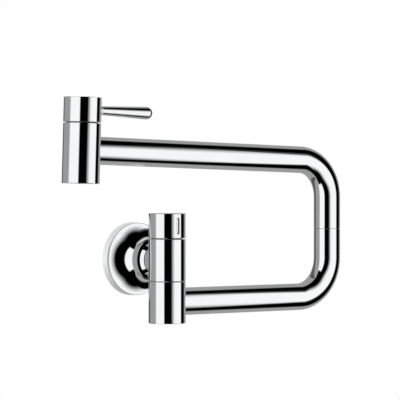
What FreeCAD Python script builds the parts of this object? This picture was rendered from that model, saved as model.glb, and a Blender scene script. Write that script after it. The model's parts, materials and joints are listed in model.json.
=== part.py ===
"""A wall mounted pot filler: a double-jointed folding spout with a quarter-turn valve at each end.

The origin is the centre of the wall plate's back face. +X runs along the wall, +Z is up and the
room lies towards -Y. All lengths are millimetres. The spout is drawn folded back on itself, flat
along the wall, with both valves shut.
"""

import FreeCAD
import Part
import Sketcher
import math
import os

os.makedirs("parts", exist_ok=True)
doc = FreeCAD.newDocument("pot_filler")

# ---------------------------------------------------------------- driving dimensions

DRIVING = [
    # wall plate, turned about the wall axis; depths are measured off the wall
    ("plate_radius", 35.0, "rim of the wall plate, at the wall"),
    ("plate_front_radius", 34.5, "rim of the wall plate, at the front of its side wall"),
    ("plate_face_radius", 34.0, "where the plate's cove begins"),
    ("plate_rim_depth", 9.2, "how far the rim stands off the wall"),
    ("plate_cove", 24.5, "radius of the concave sweep from face to neck"),
    ("plate_neck_radius", 14.7, "neck of the wall plate"),
    ("plate_neck_depth", 25.3, "where the cove ends"),
    ("plate_wall", 1.2, "sheet thickness of the plate"),
    ("plate_roof_inset", 1.0, "inner start of the cove, inside the outer one"),
    ("wall_seal_width", 4.0, "flat ring between plate and wall"),
    ("wall_seal_height", 2.0, "height of that ring"),
    ("wall_seal_gap", 0.3, "that ring, inside the plate's rim"),
    # collar and inlet
    ("collar_radius", 21.2, "round collar between plate and body"),
    ("collar_back", 28.2, "back face of the collar"),
    ("collar_taper", 33.2, "where the collar begins to narrow towards its front"),
    ("collar_front", 35.5, "front edge of the collar"),
    ("collar_front_radius", 20.7, "front edge of the collar"),
    ("collar_dish_depth", 1.3, "depth of the dished front"),
    ("collar_floor_radius", 17.2, "flat middle of the dished front"),
    ("collar_lip", 2.7, "thickness of the collar's inward lip"),
    ("union_radius", 12.0, "thread between nipple and collar"),
    ("supply_radius", 10.48, "half-inch pipe thread, major radius"),
    ("supply_length", 15.0, "length of that thread"),
    ("inlet_bore", 7.0, "bore of the nipple"),
    ("thread_relief", 1.0, "depth of the run-out beside a thread"),
    ("thread_lead", 0.6, "chamfer at the start of a thread"),
    ("supply_lead", 1.0, "chamfer of the supply thread, along it"),
    ("stub_shoulder_low", 12.0, "back of the nipple's shoulder, off the wall"),
    ("stub_shoulder_high", 16.0, "front of that shoulder"),
    ("stub_shoulder_rise", 0.9, "shoulder, outside the union thread"),
    ("stub_relief_end", 18.0, "end of the run-out in front of the shoulder"),
    ("stub_thread_low", 18.5, "start of the union thread"),
    ("stub_socket_radius", 8.0, "corners of the hexagon in the nipple"),
    ("stub_socket_depth", 8.0, "depth of that hexagon"),
    ("collar_skirt", 6.5, "threaded skirt behind the collar"),
    ("skirt_gap", 0.2, "skirt inside the plate's neck"),
    ("tail_radius", 10.0, "inlet tail of the valve body"),
    ("tail_gap", 0.2, "collar's lip around the tail"),
    ("tail_shoulder", 3.0, "shoulder at the tail's end"),
    ("root_radius", 14.3, "thick root of the tail, between collar and body"),
    ("root_edge", 38.6, "back of its straight part, off the wall"),
    ("root_flare_front", 38.2, "front of its flare"),
    ("root_flare_low", 14.8, "radius there"),
    ("root_flare_high", 16.85, "radius at the flare's wide end"),
    ("root_flare_back", 34.9, "back of the flare"),
    ("root_toe", 17.45, "sharp rim behind the flare, over the collar's dish"),
    ("root_back", 34.5, "back of the root"),
    ("root_sunk", 47.0, "its end inside the body"),
    ("shoulder_gap", 0.1, "shoulder and washer inside the union thread"),
    ("inlet_drill", 4.5, "drilled way through the tail"),
    ("drill_end", 3.0, "end of a cross drilling, from the cylinder's axis"),
    ("washer_thickness", 1.5, "strainer washer"),
    ("strainer_web", 0.5, "thickness of its grid"),
    ("strainer_edge", 1.0, "grid, inside the nipple's bore"),
    ("strainer_hole", 0.7, "holes of the grid"),
    ("strainer_ring_1", 1.8, "inner ring of those holes"),
    ("strainer_ring_2", 4.2, "outer ring of those holes"),
    # the two upright cylinders
    ("body_offset", 55.0, "lower cylinder's axis, off the wall"),
    ("body_radius", 17.5, "both upright cylinders"),
    ("body_top", 44.1, "top of the shut-off knob"),
    ("body_bottom", 59.5, "bottom of the lower cylinder, below the wall axis"),
    ("knob_seam", 20.4, "middle of the gap under the shut-off knob"),
    ("knob_gap", 1.0, "gap under the knob and under the outlet cap"),
    ("swivel_seam", 19.9, "middle of the swivel seam, below the wall axis"),
    ("swivel_gap", 0.4, "gap of both swivel seams"),
    ("edge", 0.3, "chamfer on the turned edges"),
    ("break_edge", 0.5, "chamfer or round on inner turned edges"),
    ("overcut", 1.0, "how far a cut overshoots the face it starts or ends in"),
    # folding arms
    ("arm_radius", 13.0, "outside of the arm tubes"),
    ("arm_wall", 1.5, "wall of the arm tubes"),
    ("arm_drop", 39.4, "lower arm, below the wall axis"),
    ("arm_start", 11.6, "end of an arm tube, from the upright cylinder's axis"),
    ("braze_gap", 0.02, "clearance of the brazed and pressed joints"),
    ("socket_overshoot", 5.0, "arm socket's cut, outside the cylinder"),
    ("lower_reach", 200.0, "lower cylinder's axis to the elbow axis"),
    ("lower_bend", 38.0, "bend radius of the lower arm"),
    ("elbow_seam", 27.0, "middle of the elbow seam"),
    ("upper_reach", 300.0, "elbow axis to the outlet cylinder's axis"),
    ("upper_corner", 93.6, "height at which the upper arm's centre line meets the elbow axis"),
    ("upper_bend", 36.5, "bend radius of the upper arm"),
    ("rise", 1.91, "rise of the upper arm towards the outlet, in degrees"),
    # outlet cylinder, measured along its own axis from the arm's centre line
    ("head_top", 48.6, "top of the outlet cap"),
    ("head_seam", 25.2, "middle of the gap under the cap"),
    ("head_bottom", 30.9, "bottom of the outlet cylinder, below the arm"),
    # recess in the front of the shut-off knob
    ("recess_width", 3.4, "upright recess in the knob, at the surface"),
    ("recess_low", 24.5, "lower end of the recess"),
    ("recess_high", 40.4, "upper end of the recess"),
    ("recess_side", 0.55, "middle of the recess, beside the knob's front line"),
    ("recess_depth", 0.73, "flat floor of the recess, below the knob's front line"),
    ("recess_bevel", 1.12, "breadth of its sloping walls"),
    # lever of the outlet valve, measured from the outlet cylinder's axis
    ("lever_seat", 16.5, "flat that the lever's neck stands on"),
    ("lever_neck_radius", 4.1, "short neck of the lever"),
    ("lever_neck_end", 20.6, "where the taper begins"),
    ("lever_root_radius", 4.1, "thin end of the taper"),
    ("lever_tip_radius", 5.95, "round end of the lever"),
    ("lever_end", 79.7, "tip of the lever"),
    ("lever_stud_radius", 3.0, "threaded stud of the lever"),
    ("lever_stud_end", 10.0, "inner end of that stud"),
    # quarter-turn cartridges, measured up from their seat
    ("seat_below_seam", 13.9, "seat, below the lower edge of the gap above it"),
    ("pocket_radius", 10.5, "pocket that holds a cartridge"),
    ("cartridge_radius", 10.4, "cartridge housing"),
    ("cartridge_neck", 8.2, "neck of the housing"),
    ("chamber_radius", 8.2, "disc chamber in the housing"),
    ("disc_radius", 7.8, "ceramic discs"),
    ("disc_thickness", 2.0, "each ceramic disc"),
    ("gasket_thickness", 1.0, "gasket on the seat"),
    ("port_radius", 1.8, "ports through discs, gasket and seat"),
    ("port_offset", 4.5, "ports, from the cartridge's axis"),
    ("shoulder", 10.0, "shoulder of the housing"),
    ("housing_top", 16.0, "top of the housing's neck"),
    ("chamber_discs", 3.0, "height of the disc chamber, in disc thicknesses"),
    ("nut_height", 4.5, "cartridge nut"),
    ("nut_gap", 0.2, "cartridge nut around the housing's neck"),
    ("nut_slot_width", 2.4, "spanner slots in the nut"),
    ("nut_slot_depth", 1.5, "depth of those slots"),
    ("spindle_radius", 4.0, "spindle"),
    ("spindle_top", 27.0, "top of the spindle"),
    ("driver_gap", 0.2, "spindle's driving disc inside its chamber"),
    ("spindle_ring_height", 12.5, "sealing ring of the spindle"),
    ("spindle_ring_section", 0.5, "section radius of that ring"),
    ("spindle_groove_depth", 1.1, "its groove"),
    ("flute_radius", 0.6, "flutes of the spline"),
    ("flute_offset", 0.25, "flute centres, outside the spindle"),
    ("insert_low", 18.0, "bottom of the spline insert"),
    ("insert_radius", 7.0, "spline insert"),
    ("lip_radius", 14.7, "raised lip under a turning cap"),
    ("lip_height", 2.0, "height of that lip"),
    ("skirt_radius", 15.0, "hollow under a turning cap"),
    ("skirt_depth", 3.0, "depth of that hollow"),
    ("insert_over", 0.5, "spline insert, above the spindle"),
    ("cap_bore_over", 1.0, "bore for the insert, above the spindle"),
    ("press_gap", 0.05, "clearance of inserts, screws and caps in their holes"),
    ("grub_radius", 1.95, "grub screws"),
    ("grub_height", 23.0, "grub screw of a turning cap, above the seat"),
    ("grub_sink", 0.6, "grub screw of a cap, under the surface"),
    ("grub_clear", 0.1, "grub screw's point, off the insert"),
    ("grub_socket", 1.0, "socket of a grub screw"),
    ("grub_socket_depth", 2.0, "depth of that socket"),
    # base swivel
    ("journal_radius", 9.0, "journal that the lower arm turns on"),
    ("journal_bore", 6.0, "water way in the journal"),
    ("journal_head", 12.0, "threaded head of the journal"),
    ("journal_head_height", 6.0, "height of that head"),
    ("journal_end", 54.3, "bottom of the journal, below the wall axis"),
    ("journal_bore_end", 47.0, "end of its water way, below the wall axis"),
    ("way_height", 13.5, "water way in the valve body, above its lower face"),
    ("gallery_half", 5.5, "half height of the gallery around the journal"),
    ("gallery_depth", 1.4, "depth of that gallery"),
    ("journal_port", 3.0, "ports from the journal to the gallery"),
    ("sleeve_port", 4.5, "port from the gallery to the arm"),
    ("sleeve_port_inset", 1.5, "how far that port runs past the bore's wall"),
    ("upper_ring", 27.5, "upper sealing ring, below the wall axis"),
    ("lower_ring", 50.0, "lower sealing ring, below the wall axis"),
    ("face_seal_offset", 2.5, "face seal on the journal head, outside the bore"),
    ("face_groove_side", 0.4, "room beside that seal"),
    ("glide_inner", 0.3, "glide ring, off the journal"),
    ("glide_set_back", 0.9, "glide ring, inside the cylinder's surface"),
    ("sleeve_shoulder", 54.0, "shoulder inside the sleeve, below the wall axis"),
    ("sleeve_cup", 14.0, "hollow in the sleeve's underside"),
    ("bottom_cap", 1.4, "thickness of the closing disc"),
    ("keeper_radius", 2.5, "screw that keeps the sleeve on"),
    ("keeper_hole_depth", 6.0, "its threaded hole"),
    ("keeper_depth", 5.5, "how far it reaches into the journal"),
    ("keeper_head_radius", 4.5, "its head"),
    ("keeper_head_height", 2.4, "height of its head"),
    ("keeper_crown", 0.9, "bevel of its head"),
    ("keeper_socket", 1.7, "corners of the hexagon in its head"),
    ("keeper_socket_depth", 1.4, "depth of that hexagon"),
    ("keeper_washer", 1.0, "thrust washer under its head"),
    ("keeper_washer_gap", 0.1, "washer around the screw"),
    ("keeper_washer_inset", 2.0, "washer, inside the sleeve's hollow"),
    # elbow swivel
    ("elbow_journal", 8.0, "journal of the elbow"),
    ("elbow_bore", 5.5, "water way in the elbow journal"),
    ("elbow_socket_low", 1.0, "bottom of the elbow socket"),
    ("elbow_journal_low", 2.0, "bottom of the elbow journal"),
    ("elbow_plug_top", 45.0, "top of the part brazed into the upper tube"),
    ("elbow_screw_height", 14.5, "grub screw of the elbow"),
    ("elbow_slot_side", 0.35, "keeper slot beside that screw"),
    ("elbow_point_gap", 0.3, "screw's point, off the floor of the slot"),
    ("elbow_screw_sink", 0.5, "that screw, under the tube's surface"),
    ("elbow_ring_low", 7.0, "lower sealing ring of the elbow"),
    ("elbow_ring_high", 22.0, "upper sealing ring of the elbow"),
    ("elbow_glide_inner", 0.4, "elbow glide ring, off the journal"),
    ("elbow_glide_set_back", 0.8, "elbow glide ring, inside the tube's surface"),
    # fits and seals
    ("running_gap", 0.05, "radial clearance of everything that turns"),
    ("ring_section", 0.6, "section radius of the sealing rings"),
    ("ring_groove", 1.8, "width of their grooves"),
    ("groove_depth", 1.3, "depth of their grooves"),
    ("ring_lift", 0.05, "rings, off the floor of their grooves"),
    # aerator
    ("aerator_radius", 11.0, "threaded hollow under the outlet"),
    ("aerator_top", 14.0, "roof of that hollow, below the arm"),
    ("aerator_set_back", 0.5, "aerator, behind the lower edge"),
    ("aerator_mouth", 8.6, "mouth of the aerator"),
    ("aerator_wall", 0.9, "mouth lip of its housing, inwards"),
    ("aerator_lip", 1.2, "height of that lip"),
    ("aerator_chamfer", 0.4, "chamfer around its underside"),
    ("aerator_washer", 1.5, "sealing washer above it"),
    ("aerator_washer_bore", 7.1, "opening of that washer"),
    ("aerator_washer_gap", 1.0, "washer, under the hollow's roof"),
    ("aerator_play", 0.1, "insert inside its housing"),
    ("aerator_hole", 0.75, "holes of the insert"),
    ("aerator_ring_1", 2.2, "inner ring of those holes"),
    ("aerator_ring_2", 4.6, "middle ring of those holes"),
    ("aerator_ring_3", 6.9, "outer ring of those holes"),
    ("head_entry", 4.0, "way from the arm into the outlet cylinder"),
]

sheet = doc.addObject("Spreadsheet::Sheet", "Sizes")
for row, (alias, number, note) in enumerate(DRIVING, start=1):
    sheet.set(f"A{row}", note)
    sheet.set(f"B{row}", str(number))
    sheet.setAlias(f"B{row}", alias)
doc.recompute()


class Size:
    """A length that carries its number and the sheet formula that it comes from."""

    def __init__(self, number, formula):
        self.number = float(number)
        self.formula = formula

    def __add__(self, other):
        other = as_size(other)
        return Size(self.number + other.number, f"({self.formula} + {other.formula})")

    def __sub__(self, other):
        other = as_size(other)
        return Size(self.number - other.number, f"({self.formula} - {other.formula})")

    def __mul__(self, other):
        other = as_size(other)
        return Size(self.number * other.number, f"({self.formula} * {other.formula})")

    def __truediv__(self, other):
        other = as_size(other)
        return Size(self.number / other.number, f"({self.formula} / {other.formula})")

    def __neg__(self):
        return Size(-self.number, f"(0 - {self.formula})")


def as_size(value):
    """A plain number becomes a Size whose formula is that number."""
    if isinstance(value, Size):
        return value
    return Size(value, repr(float(value)))


class Sheet:
    """Reads a driving dimension by its alias."""

    def __getattr__(self, alias):
        return Size(sheet.get(alias), f"Sizes.{alias}")


d = Sheet()
ZERO = as_size(0)
RIGHT_ANGLE = 90


def cosine(angle):
    return Size(math.cos(math.radians(angle.number)), f"cos({angle.formula} * 1 deg)")


def sine(angle):
    return Size(math.sin(math.radians(angle.number)), f"sin({angle.formula} * 1 deg)")


def tangent(angle):
    return Size(math.tan(math.radians(angle.number)), f"tan({angle.formula} * 1 deg)")


# ---------------------------------------------------------------- places

# the turning cap's lower edge, and the upper edge of what it stands on
knob_low = d.knob_seam + d.knob_gap / 2
valve_high = d.knob_seam - d.knob_gap / 2
cap_low = d.head_seam + d.knob_gap / 2
head_high = d.head_seam - d.knob_gap / 2
valve_seat = valve_high - d.seat_below_seam
head_seat = head_high - d.seat_below_seam
valve_low = -(d.swivel_seam - d.swivel_gap / 2)
sleeve_high = -(d.swivel_seam + d.swivel_gap / 2)
lower_tube_top = d.elbow_seam - d.swivel_gap / 2
upper_tube_low = d.elbow_seam + d.swivel_gap / 2

# along the wall axis: the collar's lip, the tail's end and the nipple's end
tail_front = d.collar_front - d.collar_lip
tail_end = tail_front - d.tail_shoulder
nipple_end = tail_end - d.washer_thickness

# the journal under the valve body, and its seals
way_top = valve_low + d.way_height
swivel_slot_floor = d.journal_radius - d.groove_depth
swivel_ring_heights = [-d.upper_ring, -d.lower_ring]
seal_middle = d.journal_bore + d.face_seal_offset

# inside the arm tubes, and the journal of the elbow
tube_inside = d.arm_radius - d.arm_wall - d.braze_gap
elbow_slot_floor = d.elbow_journal - d.groove_depth
elbow_ring_heights = [d.elbow_ring_low, d.elbow_ring_high]

# inside the outlet cylinder
aerator_roof = -d.aerator_top
lever_height = (cap_low + d.head_top) / 2


class Place:
    """Where a sub-part's own axes sit: a point, and one turn about X, Y or Z."""

    def __init__(self, x, y, z, axis=(0, 0, 1), angle=ZERO):
        self.base = [as_size(x), as_size(y), as_size(z)]
        self.axis = FreeCAD.Vector(*axis)
        self.angle = as_size(angle)

    def give(self, thing):
        base = FreeCAD.Vector(*[part.number for part in self.base])
        turn = FreeCAD.Rotation(self.axis, self.angle.number)
        thing.Placement = FreeCAD.Placement(base, turn)
        for letter, part in zip("xyz", self.base):
            thing.setExpression(f"Placement.Base.{letter}", part.formula)
        if self.angle.number:
            thing.setExpression("Placement.Rotation.Angle", self.angle.formula)


# turned about the wall axis, with +Z of the sub-part pointing into the room
ON_WALL = Place(0, 0, 0, (1, 0, 0), RIGHT_ANGLE)
# the lower cylinder and the elbow stand upright
ON_BODY = Place(0, -d.body_offset, 0)
ON_ELBOW = Place(d.lower_reach, -d.body_offset, 0)
head_x = d.lower_reach - d.upper_reach * cosine(d.rise)
head_z = d.upper_corner + d.upper_reach * sine(d.rise)
# the outlet cylinder leans with the rise of its arm
ON_HEAD = Place(head_x, -d.body_offset, head_z, (0, 1, 0), d.rise)
# the lever leaves the cap at right angles to the outlet cylinder
lever_x = head_x + lever_height * sine(d.rise)
lever_z = head_z + lever_height * cosine(d.rise)
ON_LEVER = Place(lever_x, -d.body_offset, lever_z, (0, 1, 0), d.rise + RIGHT_ANGLE)


def along_head(height):
    """A place on the outlet cylinder's leaning axis."""
    x = head_x + height * sine(d.rise)
    z = head_z + height * cosine(d.rise)
    return Place(x, -d.body_offset, z, (0, 1, 0), d.rise)


def valve_place(height):
    """A place on the lower cylinder's axis."""
    return Place(0, -d.body_offset, height)


# ---------------------------------------------------------------- drawing tools

nodes = []

# rings of small holes: their radius and how many holes each has
STRAINER_HOLES = [(d.strainer_ring_1, 6), (d.strainer_ring_2, 12)]
AERATOR_HOLES = [(d.aerator_ring_1, 6), (d.aerator_ring_2, 12), (d.aerator_ring_3, 18)]
NUT_SLOTS = 4
JOURNAL_PORTS = 4
SPLINE_FLUTES = 16


def new_body(name, place):
    body = doc.addObject("PartDesign::Body", name)
    body.Label = name
    place.give(body)
    nodes.append(body)
    return body


def new_sketch(body, name, role="XZ_Plane", lift=ZERO):
    """A sketch on one of the body's origin planes, lifted along the plane's normal."""
    sketch = body.newObject("Sketcher::SketchObject", name)
    planes = [plane for plane in body.Origin.OriginFeatures if plane.Role == role]
    sketch.AttachmentSupport = (planes[0], [""])
    sketch.MapMode = "FlatFace"
    if lift.number:
        sketch.AttachmentOffset = FreeCAD.Placement(
            FreeCAD.Vector(0, 0, lift.number), FreeCAD.Rotation()
        )
        sketch.setExpression("AttachmentOffset.Base.z", lift.formula)
    return sketch


# a sketch's origin and axes, and the ends of its geometry, as its constraints number them
ORIGIN = (-1, 1)
UPRIGHT_AXIS = -2
LEVEL_AXIS = -1
START = 1
END = 2
CENTRE = 3
# the smallest volume that a cut must take away
LEAST_CUT = 1e-3
# a coordinate nearer than this lies on the sketch's axis
ON_AXIS = 1e-9
HEXAGON = 6
FULL_TURN = 360.0


def hold(sketch, kind, axis_line, geometry, end, size):
    """Holds one coordinate of a sketch point at a sheet-bound distance from the origin."""
    if size.number == 0:
        sketch.addConstraint(Sketcher.Constraint("PointOnObject", geometry, end, axis_line))
        return
    index = sketch.addConstraint(
        Sketcher.Constraint(kind, ORIGIN[0], ORIGIN[1], geometry, end, size.number)
    )
    sketch.setExpression(f"Constraints[{index}]", size.formula)


def hold_point(sketch, geometry, end, x, y):
    hold(sketch, "DistanceX", UPRIGHT_AXIS, geometry, end, as_size(x))
    hold(sketch, "DistanceY", LEVEL_AXIS, geometry, end, as_size(y))


def hold_radius(sketch, geometry, radius):
    index = sketch.addConstraint(Sketcher.Constraint("Radius", geometry, radius.number))
    sketch.setExpression(f"Constraints[{index}]", radius.formula)


def arc_between(start, end, radius, side):
    """An arc from start to end whose centre is left (+1) or right (-1) of the chord.

    The second value tells whether the arc runs backwards, because a sketch stores every arc
    counter-clockwise.
    """
    chord = end - start
    middle = (start + end) * 0.5
    normal = FreeCAD.Vector(-chord.y, chord.x, 0).normalize() * side
    reach = math.sqrt(max(radius**2 - (chord.Length / 2) ** 2, 0.0))
    centre = middle + normal * reach
    first, last = (start, end) if side > 0 else (end, start)
    circle = Part.Circle(centre, FreeCAD.Vector(0, 0, 1), radius)
    arc = Part.ArcOfCircle(circle, angle_to(centre, first), angle_to(centre, last))
    return arc, side < 0


def angle_to(centre, point):
    return math.atan2(point.y - centre.y, point.x - centre.x)


def draw_path(sketch, points, closed):
    """Lines and arcs through held corners.

    A corner is (x, y), or (x, y, radius, side) where an arc starts.
    """
    count = len(points) if closed else len(points) - 1
    ends = []
    for index in range(count):
        here = points[index]
        after = points[(index + 1) % len(points)]
        start = FreeCAD.Vector(as_size(here[0]).number, as_size(here[1]).number, 0)
        end = FreeCAD.Vector(as_size(after[0]).number, as_size(after[1]).number, 0)
        if len(here) == 2:
            sketch.addGeometry(Part.LineSegment(start, end), False)
            ends.append((START, END))
            continue
        arc, backwards = arc_between(start, end, here[2].number, here[3])
        sketch.addGeometry(arc, False)
        ends.append((END, START) if backwards else (START, END))
    for index in range(count):
        first, last = ends[index]
        hold_point(sketch, index, first, points[index][0], points[index][1])
        if len(points[index]) > 2:
            hold_radius(sketch, index, points[index][2])
        follower = (index + 1) % count
        if closed or index + 1 < count:
            sketch.addConstraint(
                Sketcher.Constraint("Coincident", index, last, follower, ends[follower][0])
            )
        else:
            hold_point(sketch, index, last, points[index + 1][0], points[index + 1][1])


def draw_circle(sketch, x, y, radius):
    x = as_size(x)
    y = as_size(y)
    centre = FreeCAD.Vector(x.number, y.number, 0)
    circle = Part.Circle(centre, FreeCAD.Vector(0, 0, 1), radius.number)
    index = sketch.addGeometry(circle, False)
    hold_point(sketch, index, CENTRE, x, y)
    hold_radius(sketch, index, radius)


def draw_slot(sketch, low, high, half_width, middle):
    """An upright slot with round ends."""
    up = FreeCAD.Vector(0, 0, 1)
    top = FreeCAD.Vector(middle.number, (high - half_width).number, 0)
    bottom = FreeCAD.Vector(middle.number, (low + half_width).number, 0)
    side = FreeCAD.Vector(half_width.number, 0, 0)
    over = Part.ArcOfCircle(Part.Circle(top, up, half_width.number), 0, math.pi)
    under = Part.ArcOfCircle(Part.Circle(bottom, up, half_width.number), math.pi, 2 * math.pi)
    sketch.addGeometry(over, False)
    sketch.addGeometry(Part.LineSegment(top - side, bottom - side), False)
    sketch.addGeometry(under, False)
    sketch.addGeometry(Part.LineSegment(bottom + side, top + side), False)
    for first, end, second, start in ((0, END, 1, START), (1, END, 2, START), (2, END, 3, START)):
        sketch.addConstraint(Sketcher.Constraint("Tangent", first, end, second, start))
    sketch.addConstraint(Sketcher.Constraint("Tangent", 3, END, 0, START))
    hold_point(sketch, 0, CENTRE, middle, high - half_width)
    hold_point(sketch, 2, CENTRE, middle, low + half_width)
    hold_radius(sketch, 0, half_width)


def turned(body, points, name="turned", role="XZ_Plane"):
    """Revolves an outline about the upright axis of its plane: the body's Z axis, or Y."""
    sketch = new_sketch(body, f"{body.Name}_{name}_outline", role)
    draw_path(sketch, points, closed=True)
    feature = body.newObject("PartDesign::Revolution", f"{body.Name}_{name}")
    feature.Profile = sketch
    feature.ReferenceAxis = (sketch, ["V_Axis"])
    feature.Angle = FULL_TURN
    doc.recompute()
    return feature


def must_shrink(body, before):
    """A cut that removes nothing is a mistake in its direction."""
    if not body.Shape.Volume < before - LEAST_CUT:
        raise RuntimeError(f"a cut in {body.Label} removed nothing")


def grooved(body, points, name):
    """Cuts a turned hollow out of the body."""
    before = body.Shape.Volume
    sketch = new_sketch(body, f"{body.Name}_{name}_outline")
    draw_path(sketch, points, closed=True)
    feature = body.newObject("PartDesign::Groove", f"{body.Name}_{name}")
    feature.Profile = sketch
    feature.ReferenceAxis = (sketch, ["V_Axis"])
    feature.Angle = FULL_TURN
    doc.recompute()
    must_shrink(body, before)
    return feature


def cut_from(body, sketch, name, depth, flip=False):
    before = body.Shape.Volume
    feature = body.newObject("PartDesign::Pocket", f"{body.Name}_{name}")
    feature.Profile = sketch
    feature.Reversed = flip
    feature.setExpression("Length", depth.formula)
    doc.recompute()
    must_shrink(body, before)
    return feature


def bored(body, name, role, lift, centre, radius, depth, flip=False):
    """A round hole from a lifted origin plane, against the plane's normal unless flipped."""
    sketch = new_sketch(body, f"{body.Name}_{name}_circle", role, lift)
    draw_circle(sketch, centre[0], centre[1], radius)
    return cut_from(body, sketch, name, depth, flip)


def repeated(body, feature, name, count):
    """Repeats a cut evenly about the body's Z axis."""
    before = body.Shape.Volume
    axes = [axis for axis in body.Origin.OriginFeatures if axis.Role == "Z_Axis"]
    pattern = body.newObject("PartDesign::PolarPattern", f"{body.Name}_{name}")
    pattern.Originals = [feature]
    pattern.Axis = (axes[0], [""])
    pattern.Angle = FULL_TURN
    pattern.Occurrences = count
    body.Tip = pattern
    doc.recompute()
    must_shrink(body, before)
    return pattern


def padded(body, sketch, name, height, flip=False):
    feature = body.newObject("PartDesign::Pad", f"{body.Name}_{name}")
    feature.Profile = sketch
    feature.Reversed = flip
    feature.setExpression("Length", height.formula)
    doc.recompute()
    return feature


def ring(name, place, inner, outer, low, high):
    """A plain turned ring or washer."""
    body = new_body(name, place)
    turned(body, [(inner, low), (outer, low), (outer, high), (inner, high)])
    return body


def seal_rings(name, place, radius, heights, section=d.ring_section):
    """Round-section sealing rings that share one node."""
    rings = []
    for number, height in enumerate(heights, start=1):
        torus = doc.addObject("Part::Torus", f"{name}_{number}")
        torus.setExpression("Radius1", radius.formula)
        torus.setExpression("Radius2", section.formula)
        Place(0, 0, height).give(torus)
        rings.append(torus)
    group = doc.addObject("Part::Compound", name)
    group.Label = name
    group.Links = rings
    place.give(group)
    nodes.append(group)
    return group


def ring_slot(body, name, surface, floor, height):
    """The groove of a sealing ring in a turned outer surface."""
    half = d.ring_groove / 2
    outside = surface + d.overcut
    corners = [
        (floor, height - half),
        (outside, height - half),
        (outside, height + half),
        (floor, height + half),
    ]
    return grooved(body, corners, name)


# ---------------------------------------------------------------- wall unit


def make_wall_flange():
    """The bell-shaped plate: a short side wall, then one concave sweep up to the neck."""
    body = new_body("wall_flange", ON_WALL)
    rim_inside = d.plate_radius - d.plate_wall
    roof = d.plate_rim_depth - d.plate_wall
    round_start = d.plate_rim_depth - d.break_edge
    outline = [
        (rim_inside, 0),
        (d.plate_radius, 0),
        (d.plate_front_radius, round_start, d.break_edge, 1),
        (d.plate_face_radius, d.plate_rim_depth, d.plate_cove, -1),
        (d.plate_neck_radius, d.plate_neck_depth),
        (d.plate_neck_radius, d.collar_back),
        (d.plate_neck_radius - d.plate_wall, d.collar_back),
        (
            d.plate_neck_radius - d.plate_wall,
            d.plate_neck_depth,
            d.plate_cove + d.plate_wall,
            1,
        ),
        (d.plate_face_radius - d.plate_roof_inset, roof),
        (d.plate_front_radius - d.plate_wall, roof),
    ]
    turned(body, outline)


def make_flange_seal():
    """A soft ring inside the rim, squeezed flat against the wall."""
    outer = d.plate_radius - d.plate_wall - d.wall_seal_gap
    inner = outer - d.wall_seal_width
    ring("flange_seal", ON_WALL, inner, outer, ZERO, d.wall_seal_height)


def make_inlet_nipple():
    """The stub screwed into the supply fitting, with a hexagon socket to turn it by."""
    body = new_body("inlet_nipple", ON_WALL)
    shoulder = d.union_radius + d.stub_shoulder_rise
    supply_root = d.supply_radius - d.thread_relief
    union_root = d.union_radius - d.thread_relief
    outline = [
        (d.inlet_bore, -d.supply_length),
        (d.supply_radius - d.thread_lead, -d.supply_length),
        (d.supply_radius, -d.supply_length + d.supply_lead),
        (d.supply_radius, -d.thread_relief),
        (supply_root, -d.thread_relief),
        (supply_root, d.stub_shoulder_low),
        (shoulder, d.stub_shoulder_low),
        (shoulder, d.stub_shoulder_high),
        (union_root, d.stub_shoulder_high),
        (union_root, d.stub_relief_end),
        (d.union_radius, d.stub_thread_low),
        (d.union_radius, nipple_end - d.thread_lead),
        (d.union_radius - d.thread_lead, nipple_end),
        (d.inlet_bore, nipple_end),
    ]
    turned(body, outline)
    socket = new_sketch(body, "inlet_nipple_hexagon", "XY_Plane", nipple_end)
    draw_hexagon(socket, d.stub_socket_radius)
    cut_from(body, socket, "socket", d.stub_socket_depth)


def draw_hexagon(sketch, corner_radius):
    """A hexagon about the sketch origin, with two corners on its X axis."""
    corners = []
    for step in range(HEXAGON):
        turn = as_size(FULL_TURN / HEXAGON * step)
        corners.append((corner_radius * cosine(turn), corner_radius * sine(turn)))
    level = [(x, ZERO if abs(y.number) < ON_AXIS else y) for x, y in corners]
    draw_path(sketch, level, closed=True)


def make_strainer_washer():
    """Rubber washer with a moulded-in grid that keeps grit out of the valve."""
    body = new_body("strainer_washer", ON_WALL)
    rubber = d.union_radius - d.shoulder_gap
    grid = d.inlet_bore - d.strainer_edge
    web_top = nipple_end + d.strainer_web
    outline = [
        (0, nipple_end),
        (rubber, nipple_end),
        (rubber, tail_end),
        (grid, tail_end),
        (grid, web_top),
        (0, web_top),
    ]
    turned(body, outline)
    depth = d.washer_thickness + d.overcut
    pierced(body, STRAINER_HOLES, tail_end, d.strainer_hole, depth)


def pierced(body, rings, top, radius, depth):
    """Rings of small holes straight down from a level face."""
    for number, (ring_radius, count) in enumerate(rings, start=1):
        hole = bored(body, f"hole_{number}", "XY_Plane", top, (ring_radius, 0), radius, depth)
        repeated(body, hole, f"holes_{number}", count)


def make_collar_nut():
    """The union nut: a round dished collar, and a threaded skirt behind it inside the neck."""
    body = new_body("collar_nut", ON_WALL)
    thread = d.union_radius + d.running_gap
    skirt = d.plate_neck_radius - d.plate_wall - d.skirt_gap
    skirt_end = d.collar_back - d.collar_skirt
    dish_floor = d.collar_front - d.collar_dish_depth
    outline = [
        (thread, skirt_end),
        (skirt, skirt_end),
        (skirt, d.collar_back),
        (d.collar_radius - d.edge, d.collar_back),
        (d.collar_radius, d.collar_back + d.edge),
        (d.collar_radius, d.collar_taper),
        (d.collar_front_radius, d.collar_front),
        (d.collar_floor_radius, dish_floor),
        (d.tail_radius + d.tail_gap + d.break_edge, dish_floor),
        (d.tail_radius + d.tail_gap, dish_floor - d.break_edge),
        (d.tail_radius + d.tail_gap, tail_front),
        (thread, tail_front),
    ]
    turned(body, outline)


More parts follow.
